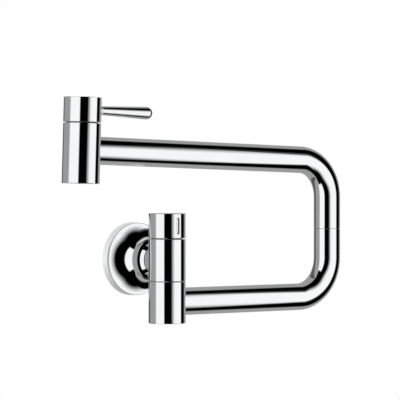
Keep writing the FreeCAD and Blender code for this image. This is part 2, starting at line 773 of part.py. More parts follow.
def make_valve_body():
    """The fixed section: cartridge pocket above, inlet tail behind, journal thread below."""
    body = new_body("valve_body", ON_BODY)
    rim = d.body_radius - d.edge
    outline = [
        (0, valve_low),
        (rim, valve_low),
        (d.body_radius, valve_low + d.edge),
        (d.body_radius, valve_high - d.edge),
        (rim, valve_high),
        (d.lip_radius, valve_high),
        (d.lip_radius, valve_high + d.lip_height),
        (0, valve_high + d.lip_height),
    ]
    turned(body, outline)

    # the tail runs back towards the wall and ends in a shoulder that the collar draws in
    tail = new_sketch(body, "valve_body_tail_circle")
    draw_circle(tail, 0, 0, d.tail_radius)
    padded(body, tail, "tail", d.body_offset - tail_end, flip=True)
    flange = new_sketch(body, "valve_body_flange_circle", lift=-(d.body_offset - tail_front))
    draw_circle(flange, 0, 0, d.union_radius - d.shoulder_gap)
    padded(body, flange, "flange", d.tail_shoulder, flip=True)
    root = [
        (0, d.body_offset - d.root_sunk),
        (d.root_radius, d.body_offset - d.root_sunk),
        (d.root_radius, d.body_offset - d.root_edge),
        (d.root_flare_low, d.body_offset - d.root_flare_front),
        (d.root_flare_high, d.body_offset - d.root_flare_back),
        (d.root_toe, d.body_offset - d.root_back),
        (0, d.body_offset - d.root_back),
    ]
    turned(body, root, "root", "XY_Plane")

    # pocket for the cartridge, and the threaded recess for the journal
    pocket = [
        (0, valve_seat),
        (d.pocket_radius, valve_seat),
        (d.pocket_radius, valve_high + d.lip_height + d.overcut),
        (0, valve_high + d.lip_height + d.overcut),
    ]
    grooved(body, pocket, "pocket")
    recess = [
        (0, valve_low - d.overcut),
        (d.journal_head, valve_low - d.overcut),
        (d.journal_head, valve_low + d.journal_head_height),
        (d.journal_bore, valve_low + d.journal_head_height),
        (d.journal_bore, way_top),
        (0, way_top),
    ]
    grooved(body, recess, "recess")

    # inlet from the tail to the rear port, and the front port down to the journal
    tail_length = d.body_offset - tail_end
    bored(
        body,
        "inlet",
        "XZ_Plane",
        -tail_length,
        (0, 0),
        d.inlet_drill,
        tail_length - d.drill_end,
        flip=True,
    )
    bored(body, "rear_port", "XY_Plane", valve_seat, (0, d.port_offset), d.port_radius, valve_seat)
    bored(
        body,
        "front_port",
        "XY_Plane",
        valve_seat,
        (0, -d.port_offset),
        d.port_radius,
        valve_seat - way_top + d.overcut,
    )


def make_swivel_spigot():
    """The hollow journal that the lower arm turns on."""
    body = new_body("swivel_spigot", ON_BODY)
    journal_head_top = valve_low + d.journal_head_height
    outline = [
        (0, -d.journal_end),
        (d.journal_radius - d.break_edge, -d.journal_end),
        (d.journal_radius, -d.journal_end + d.break_edge),
        (d.journal_radius, valve_low),
        (d.journal_head - d.running_gap, valve_low),
        (d.journal_head - d.running_gap, journal_head_top),
        (d.journal_bore, journal_head_top),
        (d.journal_bore, -d.journal_bore_end),
        (0, -d.journal_bore_end),
    ]
    turned(body, outline)
    gallery_low = -d.arm_drop - d.gallery_half
    gallery_high = -d.arm_drop + d.gallery_half
    gallery = [
        (d.journal_radius - d.gallery_depth, gallery_low),
        (d.journal_radius + d.overcut, gallery_low),
        (d.journal_radius + d.overcut, gallery_high),
        (d.journal_radius - d.gallery_depth, gallery_high),
    ]
    grooved(body, gallery, "gallery")
    for number, height in enumerate(swivel_ring_heights, start=1):
        ring_slot(body, f"slot_{number}", d.journal_radius, swivel_slot_floor, height)
    face_half = d.ring_section + d.face_groove_side
    face_floor = journal_head_top - d.ring_section * 2
    face_slot = [
        (seal_middle - face_half, face_floor),
        (seal_middle + face_half, face_floor),
        (seal_middle + face_half, journal_head_top + d.overcut),
        (seal_middle - face_half, journal_head_top + d.overcut),
    ]
    grooved(body, face_slot, "face_slot")
    port = bored(
        body,
        "port",
        "XZ_Plane",
        d.journal_radius + d.overcut,
        (0, -d.arm_drop),
        d.journal_port,
        d.journal_radius,
    )
    repeated(body, port, "ports", JOURNAL_PORTS)
    bored(
        body,
        "screw_hole",
        "XY_Plane",
        -d.journal_end,
        (0, 0),
        d.keeper_radius,
        d.keeper_hole_depth,
        flip=True,
    )


def make_swivel_seals():
    """Two O-rings around the journal and one in the face of its head."""
    middle = swivel_slot_floor + d.ring_section + d.ring_lift
    seal_rings("swivel_o_rings", ON_BODY, middle, swivel_ring_heights)
    seal_height = valve_low + d.journal_head_height - d.ring_section
    seal_rings("spigot_seal", ON_BODY, seal_middle, [seal_height])


def make_swivel_glide_washer():
    """Thin plastic ring that fills the swivel seam."""
    inner = d.journal_radius + d.glide_inner
    outer = d.body_radius - d.glide_set_back
    low = sleeve_high + d.running_gap
    high = valve_low - d.running_gap
    ring("swivel_glide_washer", ON_BODY, inner, outer, low, high)


def make_swivel_screw():
    """Pan head screw and thrust washer that keep the sleeve on the journal."""
    washer_low = -d.journal_end - d.keeper_washer
    washer_inner = d.keeper_radius + d.keeper_washer_gap
    washer_outer = d.sleeve_cup - d.keeper_washer_inset
    ring(
        "swivel_screw_washer", ON_BODY, washer_inner, washer_outer, washer_low, -d.journal_end
    )
    body = new_body("swivel_screw", ON_BODY)
    head_low = washer_low - d.keeper_head_height
    shank = d.keeper_radius - d.running_gap
    outline = [
        (0, head_low),
        (d.keeper_head_radius - d.keeper_crown, head_low),
        (d.keeper_head_radius, head_low + d.keeper_crown),
        (d.keeper_head_radius, washer_low),
        (shank, washer_low),
        (shank, -d.journal_end + d.keeper_depth),
        (0, -d.journal_end + d.keeper_depth),
    ]
    turned(body, outline)
    socket = new_sketch(body, "swivel_screw_hexagon", "XY_Plane", head_low)
    draw_hexagon(socket, d.keeper_socket)
    cut_from(body, socket, "socket", d.keeper_socket_depth, flip=True)


# ---------------------------------------------------------------- quarter-turn cartridges


def ported_disc(name, place, radius, low, thickness, along_y):
    """A flat disc with two opposite ports, on its X axis or its Y axis."""
    body = new_body(name, place)
    outline = new_sketch(body, f"{name}_circle", "XY_Plane", low)
    draw_circle(outline, 0, 0, radius)
    padded(body, outline, "disc", thickness)
    centre = (0, d.port_offset) if along_y else (d.port_offset, 0)
    top = low + thickness
    port = bored(body, "port", "XY_Plane", top, centre, d.port_radius, thickness)
    repeated(body, port, "ports", 2)


def make_cartridge(prefix, place_at, seat, ports_on_y):
    """The fixed half of a quarter-turn valve: gasket, lower disc, housing and ring nut."""
    place = place_at(seat)
    disc_low = d.gasket_thickness
    ported_disc(f"{prefix}_seat_seal", place, d.disc_radius, ZERO, d.gasket_thickness, ports_on_y)
    ported_disc(
        f"{prefix}_fixed_disc", place, d.disc_radius, disc_low, d.disc_thickness, ports_on_y
    )
    chamber_top = disc_low + d.disc_thickness * d.chamber_discs
    shaft = d.spindle_radius + d.running_gap
    housing = new_body(f"{prefix}_cartridge", place)
    outline = [
        (d.chamber_radius, disc_low),
        (d.cartridge_radius, disc_low),
        (d.cartridge_radius, d.shoulder),
        (d.cartridge_neck, d.shoulder),
        (d.cartridge_neck, d.housing_top),
        (shaft, d.housing_top),
        (shaft, chamber_top),
        (d.chamber_radius, chamber_top),
    ]
    turned(housing, outline)

    nut = new_body(f"{prefix}_cartridge_nut", place)
    nut_high = d.shoulder + d.nut_height
    inner = d.cartridge_neck + d.nut_gap
    outline = [
        (inner, d.shoulder),
        (d.cartridge_radius, d.shoulder),
        (d.cartridge_radius, nut_high - d.break_edge),
        (d.cartridge_radius - d.break_edge, nut_high),
        (inner, nut_high),
    ]
    turned(nut, outline)
    slot = new_sketch(nut, f"{prefix}_nut_slot", "XY_Plane", nut_high)
    start = inner - d.overcut
    reach = d.cartridge_radius + d.overcut
    half = d.nut_slot_width / 2
    corners = [(start, -half), (reach, -half), (reach, half), (start, half)]
    draw_path(slot, corners, closed=True)
    cut = cut_from(nut, slot, "slot", d.nut_slot_depth)
    repeated(nut, cut, "slots", NUT_SLOTS)


def make_spindle_set(prefix, place_at, seat, ports_on_y):
    """The turning half: upper disc, spindle with its sealing ring, and the spline insert."""
    place = place_at(seat)
    rotor_low = d.gasket_thickness + d.disc_thickness + d.running_gap
    ported_disc(
        f"{prefix}_rotor_disc",
        place,
        d.disc_radius,
        rotor_low,
        d.disc_thickness,
        not ports_on_y,
    )
    driver_low = rotor_low + d.disc_thickness
    driver_high = d.gasket_thickness + d.disc_thickness * d.chamber_discs - d.driver_gap
    driver_radius = d.disc_radius - d.driver_gap
    spindle = new_body(f"{prefix}_spindle", place)
    outline = [
        (0, driver_low),
        (driver_radius, driver_low),
        (driver_radius, driver_high),
        (d.spindle_radius, driver_high),
        (d.spindle_radius, d.spindle_top - d.break_edge),
        (d.spindle_radius - d.break_edge, d.spindle_top),
        (0, d.spindle_top),
    ]
    turned(spindle, outline)
    floor = d.spindle_radius - d.spindle_groove_depth
    ring_slot(spindle, "ring_slot", d.spindle_radius, floor, d.spindle_ring_height)
    # the spline: shallow flutes around the top of the spindle
    flute = bored(
        spindle,
        "flute",
        "XY_Plane",
        d.spindle_top,
        (d.spindle_radius + d.flute_offset, 0),
        d.flute_radius,
        d.spindle_top - d.insert_low,
    )
    repeated(spindle, flute, "spline", SPLINE_FLUTES)
    seal_radius = floor + d.spindle_ring_section + d.ring_lift
    heights = [d.spindle_ring_height]
    name = f"{prefix}_spindle_o_ring"
    seal_rings(name, place, seal_radius, heights, d.spindle_ring_section)

    insert_high = d.spindle_top + d.insert_over
    insert = new_body(f"{prefix}_insert", place)
    bore = d.spindle_radius + d.press_gap
    outline = [
        (bore, d.insert_low),
        (d.insert_radius, d.insert_low),
        (d.insert_radius, insert_high),
        (bore, insert_high),
    ]
    turned(insert, outline)


def make_cap_shell(name, place, low, high, seat):
    """A turning cap: a solid top over a shallow skirt, bored for the spline insert."""
    body = new_body(name, place)
    bore = d.insert_radius + d.press_gap
    bore_top = seat + d.spindle_top + d.cap_bore_over
    rim = d.body_radius - d.edge
    outline = [
        (d.skirt_radius, low),
        (rim, low),
        (d.body_radius, low + d.edge),
        (d.body_radius, high - d.edge),
        (rim, high),
        (0, high),
        (0, bore_top),
        (bore, bore_top),
        (bore, low + d.skirt_depth),
        (d.skirt_radius, low + d.skirt_depth),
    ]
    turned(body, outline)
    # threaded hole for the grub screw, at the back
    bored(
        body,
        "grub_hole",
        "XZ_Plane",
        -(d.body_radius + d.overcut),
        (0, seat + d.grub_height),
        d.grub_radius + d.press_gap,
        d.body_radius - d.insert_radius + d.overcut,
        flip=True,
    )
    return body


def make_grub_screw(name, place, height, inner, outer):
    """A grub screw that points at the axis from the back, with a hexagon socket."""
    body = new_body(name, place)
    circle = new_sketch(body, f"{name}_circle", "XZ_Plane", -outer)
    draw_circle(circle, 0, height, d.grub_radius)
    padded(body, circle, "shank", outer - inner)
    socket = new_sketch(body, f"{name}_socket_circle", "XZ_Plane", -outer)
    draw_circle(socket, 0, height, d.grub_socket)
    cut_from(body, socket, "socket", d.grub_socket_depth, flip=True)


def make_cap_screw(name, place, seat):
    """The grub screw of a turning cap, from just under its surface to just off the insert."""
    inner = d.insert_radius + d.grub_clear
    outer = d.body_radius - d.grub_sink
    make_grub_screw(name, place, seat + d.grub_height, inner, outer)


# ---------------------------------------------------------------- shut-off knob


def make_shutoff_knob():
    """The top section of the lower cylinder, with an upright bevelled recess in front."""
    body = make_cap_shell("shutoff_knob", ON_BODY, knob_low, d.body_top, valve_seat)
    # the bevel is carried on to the start of the cut, in front of the surface
    spread = d.recess_bevel * d.overcut / d.recess_depth
    start = new_sketch(body, "shutoff_knob_recess_mouth", lift=d.body_radius + d.overcut)
    mouth = d.recess_width / 2 + spread
    draw_slot(start, d.recess_low - spread, d.recess_high + spread, mouth, -d.recess_side)
    floor = new_sketch(body, "shutoff_knob_recess_floor", lift=d.body_radius - d.recess_depth)
    narrow = d.recess_width / 2 - d.recess_bevel
    low = d.recess_low + d.recess_bevel
    high = d.recess_high - d.recess_bevel
    draw_slot(floor, low, high, narrow, -d.recess_side)
    before = body.Shape.Volume
    recess = body.newObject("PartDesign::SubtractiveLoft", "shutoff_knob_recess")
    recess.Profile = start
    recess.Sections = [floor]
    recess.Ruled = True
    doc.recompute()
    must_shrink(body, before)
    make_cap_screw("shutoff_grub_screw", ON_BODY, valve_seat)


# ---------------------------------------------------------------- lower arm


def make_swivel_sleeve():
    """The bottom section of the lower cylinder, which carries the lower arm."""
    body = new_body("swivel_sleeve", ON_BODY)
    bore = d.journal_radius + d.running_gap
    rim = d.body_radius - d.edge
    outline = [
        (bore, -d.sleeve_shoulder),
        (d.sleeve_cup, -d.sleeve_shoulder),
        (d.sleeve_cup, -d.body_bottom),
        (rim, -d.body_bottom),
        (d.body_radius, -d.body_bottom + d.edge),
        (d.body_radius, sleeve_high - d.edge),
        (rim, sleeve_high),
        (bore, sleeve_high),
    ]
    turned(body, outline)
    arm_socket(body, -d.arm_drop)
    # the port from the journal's gallery into the arm
    start = d.arm_start + d.overcut
    depth = start - bore + d.sleeve_port_inset
    bored(body, "port", "YZ_Plane", start, (0, -d.arm_drop), d.sleeve_port, depth)


def arm_socket(body, height):
    """The round seat that an arm tube is brazed into, on the body's +X side."""
    start = d.body_radius + d.socket_overshoot
    radius = d.arm_radius + d.braze_gap
    bored(body, "arm_socket", "YZ_Plane", start, (0, height), radius, start - d.arm_start)


def make_sleeve_bottom_cap():
    """Sprung disc that closes the underside."""
    low = -d.body_bottom
    body = new_body("sleeve_bottom_cap", ON_BODY)
    radius = d.sleeve_cup - d.press_gap
    outline = [
        (0, low),
        (radius - d.edge, low),
        (radius, low + d.edge),
        (radius, low + d.bottom_cap),
        (0, low + d.bottom_cap),
    ]
    turned(body, outline)


def piped(body, path_points, profile_plane, lift, centre):
    """A hollow round tube swept along lines and arcs."""
    spine = new_sketch(body, f"{body.Name}_route")
    draw_path(spine, path_points, closed=False)
    section = new_sketch(body, f"{body.Name}_section", profile_plane, lift)
    draw_circle(section, centre[0], centre[1], d.arm_radius)
    draw_circle(section, centre[0], centre[1], d.arm_radius - d.arm_wall)
    tube = body.newObject("PartDesign::AdditivePipe", f"{body.Name}_tube")
    tube.Profile = section
    tube.Spine = (spine, [f"Edge{index}" for index in range(1, len(path_points))])
    doc.recompute()
    return tube


def make_lower_arm():
    """The lower tube: out along the wall, then up to the elbow seam."""
    body = new_body("lower_arm", ON_BODY)
    level = -d.arm_drop
    route = [
        (d.arm_start, level),
        (d.lower_reach - d.lower_bend, level, d.lower_bend, 1),
        (d.lower_reach, level + d.lower_bend),
        (d.lower_reach, lower_tube_top),
    ]
    piped(body, route, "YZ_Plane", d.arm_start, (0, level))
    elbow_screw_hole(body, d.lower_reach)


def elbow_screw_hole(body, across):
    """The hole of the elbow's grub screw, through the back of the tube and its bush."""
    centre = (across, d.elbow_screw_height)
    radius = d.grub_radius + d.press_gap
    bored(body, "grub_hole", "XZ_Plane", ZERO, centre, radius, d.arm_radius + d.overcut)


def make_elbow_socket():
    """Bearing bush brazed into the top of the lower tube."""
    body = new_body("elbow_socket", ON_ELBOW)
    inner = d.elbow_journal + d.running_gap
    outline = [
        (inner, d.elbow_socket_low),
        (tube_inside, d.elbow_socket_low),
        (tube_inside, lower_tube_top),
        (inner, lower_tube_top),
    ]
    turned(body, outline)
    elbow_screw_hole(body, ZERO)


def make_elbow_small_parts():
    """The glide ring in the elbow seam, and the grub screw that keeps the journal in."""
    low = lower_tube_top + d.running_gap
    high = upper_tube_low - d.running_gap
    inner = d.elbow_journal + d.elbow_glide_inner
    outer = d.arm_radius - d.elbow_glide_set_back
    ring("elbow_glide_washer", ON_ELBOW, inner, outer, low, high)
    point = elbow_slot_floor + d.elbow_point_gap
    back = d.arm_radius - d.elbow_screw_sink
    make_grub_screw("elbow_grub_screw", ON_ELBOW, d.elbow_screw_height, point, back)


# ---------------------------------------------------------------- upper arm


def make_elbow_spigot():
    """The journal of the elbow; its head is brazed into the upper tube."""
    body = new_body("elbow_spigot", ON_ELBOW)
    outline = [
        (d.elbow_bore, d.elbow_journal_low),
        (d.elbow_journal - d.break_edge, d.elbow_journal_low),
        (d.elbow_journal, d.elbow_journal_low + d.break_edge),
        (d.elbow_journal, upper_tube_low),
        (tube_inside, upper_tube_low),
        (tube_inside, d.elbow_plug_top),
        (d.elbow_bore, d.elbow_plug_top),
    ]
    turned(body, outline)
    for number, height in enumerate(elbow_ring_heights, start=1):
        ring_slot(body, f"slot_{number}", d.elbow_journal, elbow_slot_floor, height)
    slot_half = d.grub_radius + d.elbow_slot_side
    slot_low = d.elbow_screw_height - slot_half
    slot_high = d.elbow_screw_height + slot_half
    keeper = [
        (elbow_slot_floor, slot_low),
        (d.elbow_journal + d.overcut, slot_low),
        (d.elbow_journal + d.overcut, slot_high),
        (elbow_slot_floor, slot_high),
    ]
    grooved(body, keeper, "keeper_slot")
    middle = elbow_slot_floor + d.ring_section + d.ring_lift
    seal_rings("elbow_o_rings", ON_ELBOW, middle, elbow_ring_heights)


def make_upper_arm():
    """The upper tube: up from the elbow seam, then back over the lower arm to the outlet."""
    body = new_body("upper_arm", ON_ELBOW)
    turn = (as_size(RIGHT_ANGLE) - d.rise) / 2
    setback = d.upper_bend * tangent(turn)
    run = d.upper_reach - d.arm_start
    route = [
        (0, upper_tube_low),
        (0, d.upper_corner - setback, d.upper_bend, 1),
        (-(setback * cosine(d.rise)), d.upper_corner + setback * sine(d.rise)),
        (-(run * cosine(d.rise)), d.upper_corner + run * sine(d.rise)),
    ]
    piped(body, route, "XY_Plane", upper_tube_low, (0, 0))


def make_head_body():
    """The outlet cylinder: cartridge pocket above, arm socket at the side, aerator below."""
    body = new_body("head_body", ON_HEAD)
    rim = d.body_radius - d.edge
    low = -d.head_bottom
    outline = [
        (0, aerator_roof),
        (d.aerator_radius, aerator_roof),
        (d.aerator_radius, low),
        (rim, low),
        (d.body_radius, low + d.edge),
        (d.body_radius, head_high - d.edge),
        (rim, head_high),
        (d.lip_radius, head_high),
        (d.lip_radius, head_high + d.lip_height),
        (d.pocket_radius, head_high + d.lip_height),
        (d.pocket_radius, head_seat),
        (0, head_seat),
    ]
    turned(body, outline)
    arm_socket(body, ZERO)
    way = d.arm_start - d.drill_end
    bored(body, "arm_port", "YZ_Plane", d.arm_start, (0, 0), d.head_entry, way)
    bored(body, "inlet_port", "XY_Plane", head_seat, (d.port_offset, 0), d.port_radius, head_seat)
    bored(
        body,
        "outlet_port",
        "XY_Plane",
        head_seat,
        (-d.port_offset, 0),
        d.port_radius,
        head_seat - aerator_roof,
    )


def make_aerator():
    """Screwed housing, perforated insert and sealing washer under the outlet."""
    mouth = -d.head_bottom + d.aerator_set_back
    washer_high = aerator_roof - d.aerator_washer_gap
    washer_low = washer_high - d.aerator_washer
    outer = d.aerator_radius - d.press_gap
    inner = d.aerator_mouth + d.aerator_wall
    ring("aerator_washer", ON_HEAD, d.aerator_washer_bore, outer, washer_low, washer_high)

    housing = new_body("aerator_housing", ON_HEAD)
    outline = [
        (inner, washer_low),
        (outer, washer_low),
        (outer, mouth + d.aerator_chamfer),
        (outer - d.aerator_chamfer, mouth),
        (d.aerator_mouth, mouth),
        (d.aerator_mouth, mouth + d.aerator_lip),
        (inner, mouth + d.aerator_lip),
    ]
    turned(housing, outline)

    insert_low = mouth + d.aerator_lip + d.aerator_play
    insert_high = washer_low - d.aerator_play
    insert = new_body("aerator_insert", ON_HEAD)
    disc = new_sketch(insert, "aerator_insert_circle", "XY_Plane", insert_low)
    draw_circle(disc, 0, 0, inner - d.aerator_play)
    padded(insert, disc, "disc", insert_high - insert_low)
    depth = insert_high - insert_low + d.overcut
    pierced(insert, AERATOR_HOLES, insert_high, d.aerator_hole, depth)


# ---------------------------------------------------------------- outlet cap and lever


def make_head_cap():
    """The outlet's turning cap, drilled from the side for the lever's stud."""
    body = make_cap_shell("head_cap", ON_HEAD, cap_low, d.head_top, head_seat)
    start = d.body_radius + d.overcut
    flat = d.lever_neck_radius + d.press_gap
    bored(body, "lever_flat", "YZ_Plane", start, (0, lever_height), flat, start - d.lever_seat)
    stud = d.lever_stud_radius + d.braze_gap
    depth = start - d.lever_stud_end + d.edge
    bored(body, "lever_hole", "YZ_Plane", start, (0, lever_height), stud, depth)
    make_cap_screw("head_grub_screw", ON_HEAD, head_seat)


def make_lever():
    """Short neck, then a pin that widens to a round end."""
    ferrule = new_body("lever_ferrule", ON_LEVER)
    inner = d.lever_stud_radius + d.braze_gap
    outline = [
        (inner, d.lever_seat),
        (d.lever_neck_radius, d.lever_seat),
        (d.lever_neck_radius, d.lever_neck_end - d.break_edge),
        (d.lever_neck_radius - d.break_edge, d.lever_neck_end),
        (inner, d.lever_neck_end),
    ]
    turned(ferrule, outline)

    pin = new_body("lever_pin", ON_LEVER)
    round_start = d.lever_end - d.lever_tip_radius
    outline = [
        (0, d.lever_stud_end),
        (d.lever_stud_radius, d.lever_stud_end),
        (d.lever_stud_radius, d.lever_neck_end),
        (d.lever_root_radius - d.break_edge, d.lever_neck_end),
        (d.lever_root_radius, d.lever_neck_end + d.break_edge),
        (d.lever_tip_radius, round_start, d.lever_tip_radius, 1),
        (0, d.lever_end),
    ]
    turned(pin, outline)


# ---------------------------------------------------------------- assembly


def main():
    make_wall_flange()
    make_flange_seal()
    make_inlet_nipple()
    make_strainer_washer()
    make_collar_nut()
    make_valve_body()
    make_swivel_spigot()
    make_swivel_seals()
    make_swivel_glide_washer()
    make_swivel_screw()
    make_cartridge("shutoff", valve_place, valve_seat, ports_on_y=True)
    make_spindle_set("shutoff", valve_place, valve_seat, ports_on_y=True)
    make_shutoff_knob()
    make_swivel_sleeve()
    make_sleeve_bottom_cap()
    make_lower_arm()
    make_elbow_socket()
    make_elbow_small_parts()
    make_elbow_spigot()
    make_upper_arm()
    make_head_body()
    make_cartridge("head", along_head, head_seat, ports_on_y=False)
    make_aerator()
    make_spindle_set("head", along_head, head_seat, ports_on_y=False)
    make_head_cap()
    make_lever()
    doc.recompute()
    check_and_write()


def check_and_write():
    """Stops on any failed feature, then writes one file per named piece."""
    for thing in doc.Objects:
        if "Invalid" in thing.State or "Error" in thing.State:
            raise RuntimeError(f"{thing.Label} failed: {thing.State}")
    for node in nodes:
        shape = node.Shape
        if shape.isNull() or not shape.isValid() or not shape.Solids:
            raise RuntimeError(f"{node.Label} has no valid solid")
    for node in nodes:
        node.Shape.exportStep(os.path.join("parts", f"{node.Label}.step"))
        solids = len(node.Shape.Solids)
        print(f"{node.Label}: {solids} solid(s), {node.Shape.Volume / 1000:.2f} cm3")
    print(f"{len(nodes)} nodes")


main()
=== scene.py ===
"""Looks of the wall mounted pot filler: polished chrome in a studio of white and black cards."""

import json
import math

import bpy
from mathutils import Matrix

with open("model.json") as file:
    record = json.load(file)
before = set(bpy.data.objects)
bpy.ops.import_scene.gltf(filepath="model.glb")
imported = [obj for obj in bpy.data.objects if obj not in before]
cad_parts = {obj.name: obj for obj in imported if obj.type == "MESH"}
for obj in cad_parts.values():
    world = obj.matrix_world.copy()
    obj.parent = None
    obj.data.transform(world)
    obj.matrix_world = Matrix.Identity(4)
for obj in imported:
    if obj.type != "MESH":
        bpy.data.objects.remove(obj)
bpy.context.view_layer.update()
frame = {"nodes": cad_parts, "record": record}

# ---------------------------------------------------------------- camera

CAMERA_PLACE = (-1.62558, -2.14265, 0.09288)
CAMERA_AZIMUTH = math.radians(38.579)
CAMERA_PITCH = math.radians(-0.783)
SENSOR = 36.0
LENS = 252.6
CLIP_END = 100.0

camera_data = bpy.data.cameras.new("camera")
camera_data.sensor_fit = "HORIZONTAL"
camera_data.sensor_width = SENSOR
camera_data.lens = LENS
camera_data.clip_end = CLIP_END
camera = bpy.data.objects.new("camera", camera_data)
camera.location = CAMERA_PLACE
camera.rotation_euler = (math.radians(90) + CAMERA_PITCH, 0.0, -CAMERA_AZIMUTH)
bpy.context.scene.collection.objects.link(camera)
bpy.context.scene.camera = camera
bpy.context.scene.view_settings.view_transform = "Standard"


# ---------------------------------------------------------------- node helpers

UPWARDS = (0.0, 0.0, 1.0)


class Tree:
    """Adds shader nodes and links them by socket name or number."""

    def __init__(self, tree):
        self.tree = tree
        tree.nodes.clear()

    def add(self, kind, inputs=None, **settings):
        node = self.tree.nodes.new(kind)
        for name, value in settings.items():
            setattr(node, name, value)
        for name, value in (inputs or {}).items():
            if isinstance(value, bpy.types.NodeSocket):
                self.tree.links.new(value, node.inputs[name])
            else:
                node.inputs[name].default_value = value
        return node

    def math(self, operation, first, second=0.0):
        node = self.add("ShaderNodeMath", {0: first, 1: second}, operation=operation)
        return node.outputs[0]

    def dot(self, vector, along):
        node = self.add("ShaderNodeVectorMath", {0: vector, 1: along}, operation="DOT_PRODUCT")
        return node.outputs["Value"]

    def place(self):
        """The point that is shaded, in the object's own frame."""
        return self.add("ShaderNodeTexCoord").outputs["Object"]

    def ranged(self, factor, reach, levels, **settings):
        """Maps the two ends of reach to the two levels, and holds them outside."""
        inputs = {
            "Value": factor,
            "From Min": reach[0],
            "From Max": reach[1],
            "To Min": levels[0],
            "To Max": levels[1],
        }
        return self.add("ShaderNodeMapRange", inputs, **settings).outputs["Result"]

    def ramp(self, factor, stops):
        """Stops are (position, grey level) or (position, colour)."""
        node = self.add("ShaderNodeValToRGB", {"Fac": factor})
        points = node.color_ramp.elements
        while len(points) > 1:
            points.remove(points[-1])
        for index, (position, value) in enumerate(stops):
            point = points[0] if index == 0 else points.new(position)
            point.position = position
            shade = (value, value, value) if isinstance(value, float) else value
            point.color = (*shade, 1.0)
        return node.outputs["Color"]

    def chosen(self, factor, without, fully):
        """A number that goes from without to fully as the factor goes from 0 to 1."""
        return self.add("ShaderNodeMix", {0: factor, 2: without, 3: fully}).outputs[0]

    def dimmed(self, colour, share):
        node = self.add(
            "ShaderNodeMix",
            {0: 1.0, 6: colour, 7: share},
            data_type="RGBA",
            blend_type="MULTIPLY",
        )
        return node.outputs[2]

    def blend(self, factor, without, fully):
        inputs = {0: factor, 1: without.outputs[0], 2: fully.outputs[0]}
        return self.add("ShaderNodeMixShader", inputs)

    def glow(self, colour):
        return self.add("ShaderNodeEmission", {"Color": colour, "Strength": 1.0})

    def show(self, surface, kind="ShaderNodeOutputMaterial"):
        self.add(kind, {"Surface": surface.outputs[0]})


def new_material(name):
    material = bpy.data.materials.new(name)
    material.use_nodes = True
    return material, Tree(material.node_tree)


# ---------------------------------------------------------------- surroundings

# The mirror finish shows a round studio of plain cards. Each has one grey level, and these are its
# edges: angles in degrees around the studio's upright axis, with the level from there on. Angle 0
# is the front left, where the viewer stands, and positive angles lie to the viewer's right.
BLACK = 0.0005
ROOM = 0.38
REAR = 0.10
CARD = 1.12
AROUND = [
    (-166, ROOM),
    (-158, REAR),
    (-136, REAR),
    (-124, ROOM),
    (-76, ROOM),
    (-68, CARD),
    (-20, CARD),
    (-15, BLACK),
    (27, BLACK),
    (50, CARD),
    (93, CARD),
    (98, BLACK),
    (126, BLACK),
    (135, ROOM),
]
# The white cards fill these parts of the circle, and end softly above and below the studio's
# middle, between these heights in degrees.
LEFT_CARD = (-67.5, 12)
LEFT_CARD_END = (50.0, 58.0)
RIGHT_CARD = (12, 115)
RIGHT_CARD_END = (21.0, 50.5)
# the black card that starts at this angle leans outwards by this much per degree of height
LEANING_CARD_START = 100.0
CARD_LEAN = 0.12
STUDIO_MIDDLE = (0.0, -0.055, -0.02)
STUDIO_RADIUS = 0.8
STUDIO_SEGMENTS = 64
STUDIO_RINGS = 32

# the ring of lit wall around the cover plate: inner and outer radius, distance from the wall's
# face, number of corners, and how bright it is near its foot, middle and top
PATCH_RADII = (0.0335, 0.0415)
PATCH_PLACE = 0.0003
PATCH_STEPS = 96
PATCH_HEIGHTS = (-0.04, 0.04)
PATCH_LEVELS = [(0.1, 0.5), (0.5, 1.05), (0.9, 0.8)]

# the white surroundings as a background, and as a light
WHITE = (1, 1, 1, 1)
SEEN_STRENGTH = 1.0
LIGHT_STRENGTH = 0.85

# the floor, which fades out between two distances from its middle
FLOOR_MIDDLE = (0.05, -0.05, -0.3)
FLOOR_RADIUS = 2.4
FLOOR_CORNERS = 96
FLOOR_COLOUR = (0.86, 0.86, 0.86, 1)
FLOOR_FADE = (0.9, 2.1)

LAMP_PLACE = (-0.9, -1.4, 2.2)
LAMP_SIZE = 1.8
LAMP_POWER = 22.0


def only_mirrored(thing):
    """Keeps a stage piece out of everything but reflections."""
    thing.visible_camera = False
    thing.visible_diffuse = False
    thing.visible_transmission = False
    thing.visible_volume_scatter = False
    thing.visible_shadow = False


def on_circle(angle):
    """Where an angle in degrees lies on the way around, from 0 at -180 to 1 at 180."""
    return angle / 360 + 0.5


